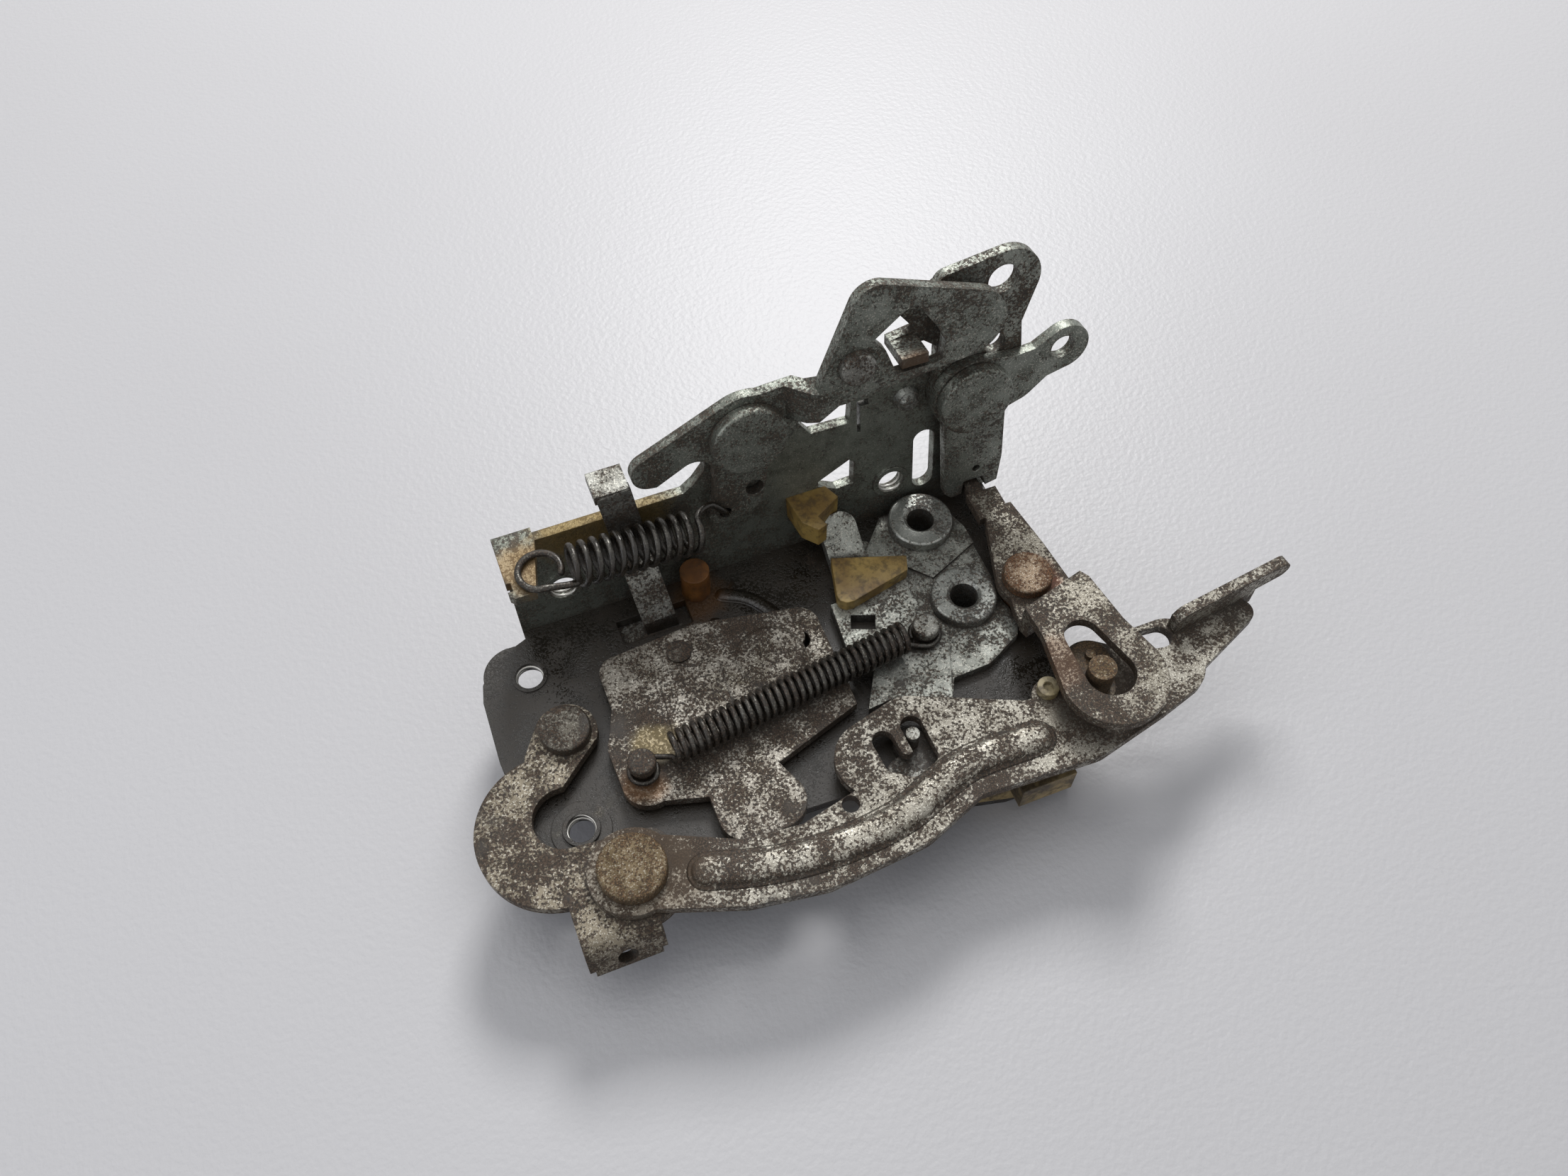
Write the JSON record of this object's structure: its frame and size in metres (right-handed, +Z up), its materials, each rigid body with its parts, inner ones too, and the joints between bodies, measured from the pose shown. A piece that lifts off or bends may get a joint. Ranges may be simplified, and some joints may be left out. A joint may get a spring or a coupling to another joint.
{
  "type": "car door lock",
  "caption": "Car door lock on a folded steel plate with riveted levers, tension springs, a catch for the striker and eyes for the handle rods.",
  "frame": {"origin": "on the axis of the lower left fixing hole, at the underside of the base plate", "axes": "+X along the fold, +Y from the fixing hole towards the upright flange, +Z up out of the base plate"},
  "size_m": [0.149, 0.0753, 0.0761],
  "materials": {
    "zinc_plate": "bright zinc plate, oiled and dusty",
    "zinc_plate_light": "bright zinc plate",
    "rivet_steel": "bright steel",
    "catch_steel": "dark hardened steel",
    "spring_steel": "oiled spring wire",
    "housing_nylon": "moulded nylon",
    "lever_zinc": "zinc plate with worn rib",
    "rivet_stained": "steel with a brown stain",
    "pin_steel": "steel, greasy",
    "ring_nylon": "moulded nylon",
    "lever_yellow": "yellow passivated zinc",
    "pin_dark": "steel, oiled",
    "lever_brown": "yellow passivated zinc, grease stained",
    "spring_black": "black oiled spring wire",
    "spring_grey": "dull spring wire",
    "rivet_marked": "steel with an orange paint mark",
    "lever_dark": "dark zinc plate",
    "peg_white": "moulded nylon",
    "lever_grey": "zinc plate",
    "slide_steel": "zinc plate, dull",
    "peg_brown": "brown nylon",
    "buffer_amber": "amber polyurethane"
  },
  "bodies": {
    "frame": {"base_plate": "zinc_plate", "flange_plate": "zinc_plate", "bridge_plate": "zinc_plate_light", "catch_bush": "rivet_steel", "pawl_bush": "rivet_steel", "housing": "housing_nylon", "face_plate": "zinc_plate_light", "main_rivet": "rivet_stained", "guide_pin": "pin_steel", "spring_lever_rivet": "pin_dark", "spring_post_right": "pin_steel", "slotted_lever_rivet": "rivet_marked", "upper_rivet": "pin_dark", "eye_rivet": "pin_dark", "nylon_peg": "peg_brown", "buffer_block": "buffer_amber", "buffer_pad": "buffer_amber", "dome_pin": "rivet_steel", "catch_spring": "spring_steel", "pawl_spring": "spring_steel", "long_spring": "spring_black", "short_spring": "spring_grey"},
    "ribbed_lever": {"ribbed_lever": "lever_zinc", "drive_pin": "pin_steel", "nylon_ring": "ring_nylon"},
    "hook_lever": {"hook_lever": "lever_yellow", "hook_pin": "pin_dark"},
    "spring_lever": {"spring_lever": "lever_brown", "spring_post_left": "pin_dark"},
    "slotted_lever": {"slotted_lever": "lever_yellow"},
    "right_eye_lever": {"right_eye_lever": "lever_grey"},
    "upper_lever": {"upper_lever": "lever_dark", "upper_pin": "peg_white"},
    "top_eye_lever": {"top_eye_lever": "lever_grey"},
    "catch": {"catch_fork": "catch_steel"},
    "pawl": {"pawl": "catch_steel"},
    "lock_slide": {"lock_slide": "slide_steel"}
  },
  "joints": [
    {"name": "ribbed_lever_turn", "type": "hinge", "parent": "frame", "child": "ribbed_lever", "pos_m": [0.0055, -0.012, 0.0065], "axis": [0, 0, 1], "range_deg": [0, 3]},
    {"name": "hook_lever_turn", "type": "hinge", "parent": "frame", "child": "hook_lever", "pos_m": [0.0055, -0.012, 0.0044], "axis": [0, 0, 1], "range_deg": [0, 8]},
    {"name": "spring_lever_turn", "type": "hinge", "parent": "frame", "child": "spring_lever", "pos_m": [0.0257, 0.0244, 0.0042], "axis": [0, 0, 1], "range_deg": [-4, 0], "stiffness_Nm_per_rad": 0.6, "springref_deg": 5.73, "deforming": ["long_spring"]},
    {"name": "right_eye_turn", "type": "hinge", "parent": "frame", "child": "right_eye_lever", "pos_m": [0.0875, 0.04128, 0.03057], "axis": [0, -0.9903, 0.1392], "range_deg": [0, 6]},
    {"name": "slotted_lever_turn", "type": "hinge", "parent": "frame", "child": "slotted_lever", "pos_m": [0.0887, 0.0143, 0.0073], "axis": [0, 0, 1], "range_deg": [-6, 0]},
    {"name": "upper_lever_turn", "type": "hinge", "parent": "frame", "child": "upper_lever", "pos_m": [0.0463, 0.04402, 0.03493], "axis": [0, -0.9903, 0.1392], "range_deg": [0, 2.7], "stiffness_Nm_per_rad": 0.5, "springref_deg": -8.59, "deforming": ["short_spring"]},
    {"name": "top_eye_turn", "type": "hinge", "parent": "frame", "child": "top_eye_lever", "pos_m": [0.0875, 0.04336, 0.03028], "axis": [0, -0.9903, 0.1392], "range_deg": [-5.94, 0]},
    {"name": "catch_turn", "type": "hinge", "parent": "frame", "child": "catch", "pos_m": [0.0775, 0.0164, -0.0075], "axis": [0, 0, 1], "range_deg": [-50, 0], "stiffness_Nm_per_rad": 0.05, "springref_deg": 17.19},
    {"name": "pawl_turn", "type": "hinge", "parent": "frame", "child": "pawl", "pos_m": [0.0769, 0.0342, -0.0075], "axis": [0, 0, 1], "range_deg": [-12, 0], "stiffness_Nm_per_rad": 0.05, "springref_deg": 17.19},
    {"name": "lock_slide_move", "type": "slide", "parent": "frame", "child": "lock_slide", "axis": [1, 0, 0], "range_m": [-0.004, 0]}
  ],
  "couplings": [
    {"joint": "slotted_lever_turn", "follows": "right_eye_turn", "ratio": -1},
    {"joint": "top_eye_turn", "follows": "upper_lever_turn", "ratio": -2.2}
  ]
}
